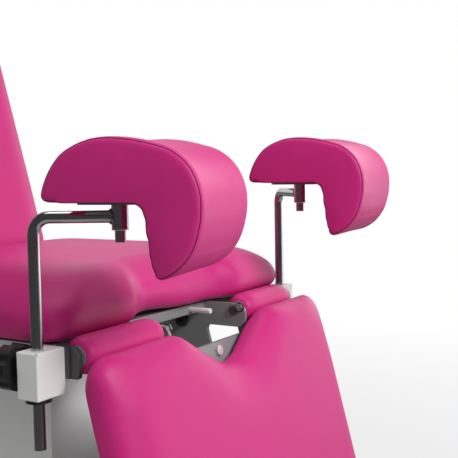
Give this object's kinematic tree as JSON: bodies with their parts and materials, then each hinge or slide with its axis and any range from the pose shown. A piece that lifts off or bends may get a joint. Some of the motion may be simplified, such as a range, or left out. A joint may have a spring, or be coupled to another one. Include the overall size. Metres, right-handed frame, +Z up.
{
  "type": "gynecological chair",
  "caption": "Examination chair on a lifting column with reclining back, drop leg section with a notch, and hook-shaped knee supports on bent swinging bars",
  "frame": {"origin": "centre of the bounding box on the floor", "axes": "X across the chair to the seated patient's left, Y back towards the backrest, Z up"},
  "size_m": [0.7341, 1.1011, 1.2673],
  "materials": {
    "vinyl": "magenta coated vinyl, fine grain, soft sheen",
    "white_paint": "white powder coat",
    "frame_paint": "light grey powder coat",
    "grey_paint": "mid grey powder coat",
    "dark_paint": "dark grey powder coat",
    "chrome": "polished chrome plate",
    "pin_steel": "turned steel",
    "bolt_steel": "zinc plated",
    "column_steel": "anodised",
    "drive_metal": "dark anodised",
    "board": "plywood faced in black lining",
    "cover_plastic": "moulded, light grey",
    "white_plastic": "moulded, white",
    "black_plastic": "moulded, black",
    "rubber": "moulded, black"
  },
  "bodies": {
    "base": {"skids": "white_paint", "rubber_feet": "rubber", "base_plate": "frame_paint", "column_outer": "white_paint", "flange_bolts": "bolt_steel", "column_glides": "black_plastic", "base_cover": "cover_plastic", "power_inlet": "black_plastic", "lift_motor": "drive_metal", "lift_tube": "drive_metal"},
    "carriage": {"column_inner": "column_steel", "column_shoes": "black_plastic", "lift_rod": "pin_steel", "head_plate": "frame_paint", "head_bolts": "bolt_steel", "right_rail": "frame_paint", "left_rail": "frame_paint", "seat_crossbars": "grey_paint", "seat_board": "board", "seat_cushion": "vinyl", "right_clamp_box": "white_paint", "left_clamp_box": "white_paint", "hinge_cheeks": "grey_paint", "hinge_lugs": "dark_paint", "leg_hinge_bolts": "bolt_steel", "cheek_bolts": "bolt_steel", "stop_bumpers": "rubber", "back_brackets": "frame_paint", "back_hinge_pins": "pin_steel", "back_drive_tube": "drive_metal", "leg_spring_tube": "drive_metal"},
    "backrest": {"back_cushion": "vinyl", "back_board": "board", "back_arms": "frame_paint", "back_crossbars": "frame_paint", "back_lever": "grey_paint"},
    "back_rod": {"back_drive_rod": "pin_steel"},
    "leg_section": {"leg_cushion": "vinyl", "right_leg_roll": "vinyl", "left_leg_roll": "vinyl", "leg_board": "board", "leg_arms": "grey_paint", "leg_crossbeam": "grey_paint", "lever_bolt": "bolt_steel", "leg_lever": "grey_paint", "hinge_bushes": "black_plastic"},
    "leg_rod": {"leg_spring_rod": "pin_steel"},
    "release": {"release_rod": "white_plastic"},
    "right_swing": {"right_clamp_bush": "black_plastic"},
    "right_support": {"right_post": "chrome"},
    "right_pad": {"right_pad_plate": "pin_steel", "right_pad_board": "board", "right_pad_cushion": "vinyl"},
    "right_clamp": {"right_knob": "black_plastic"},
    "left_swing": {"left_clamp_bush": "black_plastic"},
    "left_support": {"left_post": "chrome"},
    "left_pad": {"left_pad_plate": "pin_steel", "left_pad_board": "board", "left_pad_cushion": "vinyl"},
    "left_clamp": {"left_knob": "black_plastic"}
  },
  "joints": [
    {"name": "lift", "type": "slide", "parent": "base", "child": "carriage", "axis": [0, 0, 1], "range_m": [0, 0.22]},
    {"name": "back_recline", "type": "hinge", "parent": "carriage", "child": "backrest", "pos_m": [0, 0.321, 0.55], "axis": [-1, 0, 0], "range_deg": [0, 73.5]},
    {"name": "back_rod_slide", "type": "slide", "parent": "carriage", "child": "back_rod", "axis": [0, -1, 0], "range_m": [0, 0.1496]},
    {"name": "leg_raise", "type": "hinge", "parent": "carriage", "child": "leg_section", "pos_m": [0, -0.324, 0.506], "axis": [-1, 0, 0], "range_deg": [0, 75]},
    {"name": "leg_rod_slide", "type": "slide", "parent": "carriage", "child": "leg_rod", "axis": [0, -1, 0], "range_m": [0, 0.0539]},
    {"name": "release_push", "type": "slide", "parent": "carriage", "child": "release", "axis": [0, 1, 0], "range_m": [0, 0.008], "stiffness_N_per_m": 400, "springref_m": -0.002},
    {"name": "right_swing_turn", "type": "hinge", "parent": "carriage", "child": "right_swing", "pos_m": [-0.33, -0.294, 0.52], "axis": [0, 0, 1], "range_deg": [-96.5, 23.5]},
    {"name": "right_height", "type": "slide", "parent": "right_swing", "child": "right_support", "axis": [0, 0, 1], "range_m": [0, 0.1]},
    {"name": "right_pad_swivel", "type": "hinge", "parent": "right_support", "child": "right_pad", "pos_m": [-0.2798, -0.39468, 0.69], "axis": [0, 0, 1], "range_deg": [-60, 60]},
    {"name": "right_knob_turn", "type": "hinge", "parent": "carriage", "child": "right_clamp", "pos_m": [-0.33, -0.254, 0.494], "axis": [0, 1, 0], "range_deg": [-180, 180]},
    {"name": "left_swing_turn", "type": "hinge", "parent": "carriage", "child": "left_swing", "pos_m": [0.33, -0.294, 0.52], "axis": [0, 0, 1], "range_deg": [-8.3, 111.7]},
    {"name": "left_height", "type": "slide", "parent": "left_swing", "child": "left_support", "axis": [0, 0, 1], "range_m": [-0.0097, 0.0903]},
    {"name": "left_pad_swivel", "type": "hinge", "parent": "left_support", "child": "left_pad", "pos_m": [0.25516, -0.378, 0.6997], "axis": [0, 0, 1], "range_deg": [-60, 60]},
    {"name": "left_knob_turn", "type": "hinge", "parent": "carriage", "child": "left_clamp", "pos_m": [0.33, -0.254, 0.494], "axis": [0, 1, 0], "range_deg": [-180, 180]}
  ],
  "couplings": [
    {"joint": "back_rod_slide", "follows": "back_recline", "m_per_rad": 0.11642},
    {"joint": "leg_rod_slide", "follows": "leg_raise", "m_per_rad": 0.041034}
  ]
}
